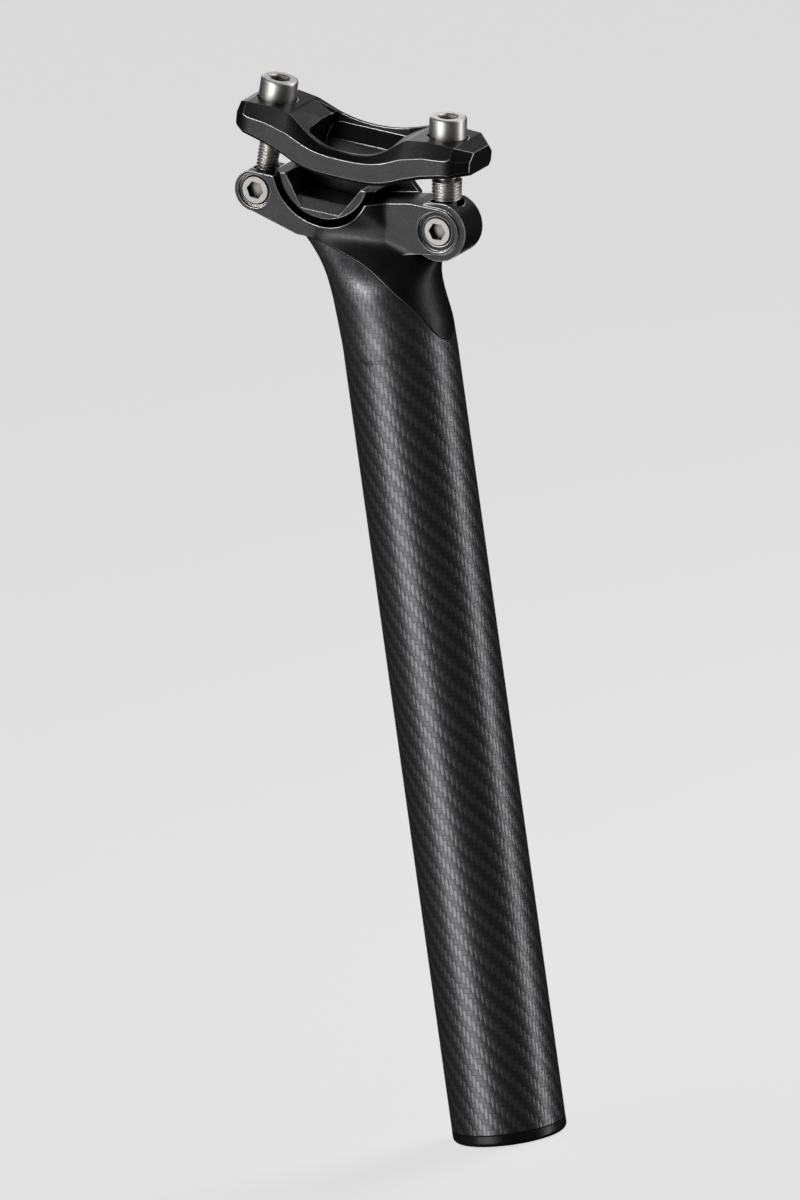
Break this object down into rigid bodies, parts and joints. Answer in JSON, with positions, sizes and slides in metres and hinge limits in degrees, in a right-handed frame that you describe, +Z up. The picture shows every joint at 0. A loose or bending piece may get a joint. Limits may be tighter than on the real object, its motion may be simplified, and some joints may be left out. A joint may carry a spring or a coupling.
{
  "type": "bicycle seatpost",
  "caption": "Round black carbon seatpost tube with a plugged end and a forged head whose fore-and-aft bolts hold a tilting two-piece saddle clamp.",
  "frame": {"origin": "on the tube's axis at the lower end of the carbon tube, where the end cap's flange meets it", "axes": "+Z up the tube towards the saddle clamp, +X to the front of the bicycle, +Y to its left"},
  "size_m": [0.0746, 0.0326, 0.3023],
  "materials": {
    "carbon": "satin clear-coated twill weave carbon",
    "black_metal": "bead-blasted and black anodised aluminium",
    "black_cap": "satin moulded nylon",
    "bolt_steel": "turned stainless steel",
    "dark_steel": "black oxide steel"
  },
  "bodies": {
    "post": {"carbon_tube": "carbon", "end_cap": "black_cap", "head": "black_metal"},
    "clamp": {"lower_cradle": "black_metal", "upper_clamp": "black_metal"},
    "rear_nut_group": {"rear_nut": "bolt_steel"},
    "rear_bolt_group": {"rear_bolt": "bolt_steel", "rear_washer": "dark_steel"},
    "front_nut_group": {"front_nut": "bolt_steel"},
    "front_bolt_group": {"front_bolt": "bolt_steel", "front_washer": "dark_steel"}
  },
  "joints": [
    {"name": "clamp_tilt", "type": "hinge", "parent": "post", "child": "clamp", "pos_m": [-0.01291, 0, 0.2719], "axis": [0, 1, 0], "range_deg": [-5, 5]},
    {"name": "rear_nut_turn", "type": "hinge", "parent": "post", "child": "rear_nut_group", "pos_m": [-0.0352, 0, 0.26705], "axis": [0, 1, 0], "range_deg": [-4, 4]},
    {"name": "rear_bolt_run", "type": "slide", "parent": "rear_nut_group", "child": "rear_bolt_group", "axis": [0.3018, 0, 0.9534], "range_m": [-0.0045, 0.0045]},
    {"name": "front_nut_turn", "type": "hinge", "parent": "post", "child": "front_nut_group", "pos_m": [0.0192, 0, 0.25374], "axis": [0, 1, 0], "range_deg": [-4, 4]},
    {"name": "front_bolt_run", "type": "slide", "parent": "front_nut_group", "child": "front_bolt_group", "axis": [0.1725, 0, 0.985], "range_m": [-0.0045, 0.0045]}
  ],
  "couplings": [
    {"joint": "rear_nut_turn", "follows": "clamp_tilt", "ratio": 0.68103},
    {"joint": "rear_bolt_run", "follows": "clamp_tilt", "m_per_rad": 0.019789},
    {"joint": "front_nut_turn", "follows": "clamp_tilt", "ratio": 0.65297},
    {"joint": "front_bolt_run", "follows": "clamp_tilt", "m_per_rad": -0.034756}
  ]
}
